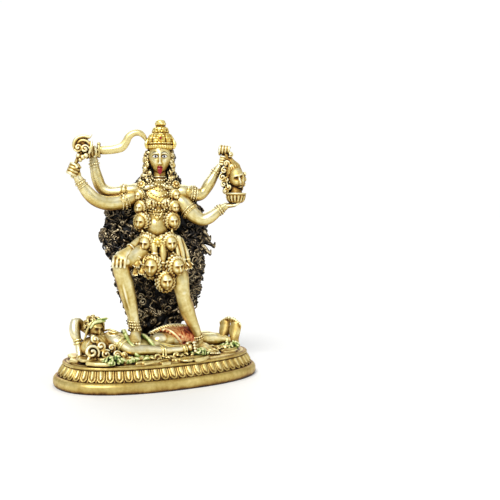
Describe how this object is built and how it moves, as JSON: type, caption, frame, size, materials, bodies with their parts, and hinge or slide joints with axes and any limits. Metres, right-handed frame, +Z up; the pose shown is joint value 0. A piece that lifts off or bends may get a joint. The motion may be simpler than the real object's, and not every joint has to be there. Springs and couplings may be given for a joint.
{
  "type": "kali figure",
  "caption": "Small gilded resin statuette of a four-armed goddess standing on a lying figure, with a great fall of black hair, on an oval lotus plinth.",
  "frame": {"origin": "middle of the plinth's flat underside", "axes": "+Z up, X along the plinth, -Y towards the plinth's long front; the standing figure faces 30 degrees from -Y towards -X"},
  "size_m": [0.1092, 0.061, 0.127],
  "materials": {
    "antique_gold": "satin",
    "black_hair": "satin",
    "painted_detail": "satin"
  },
  "bodies": {
    "root": {"kali_figure": "antique_gold"}
  },
  "joints": []
}
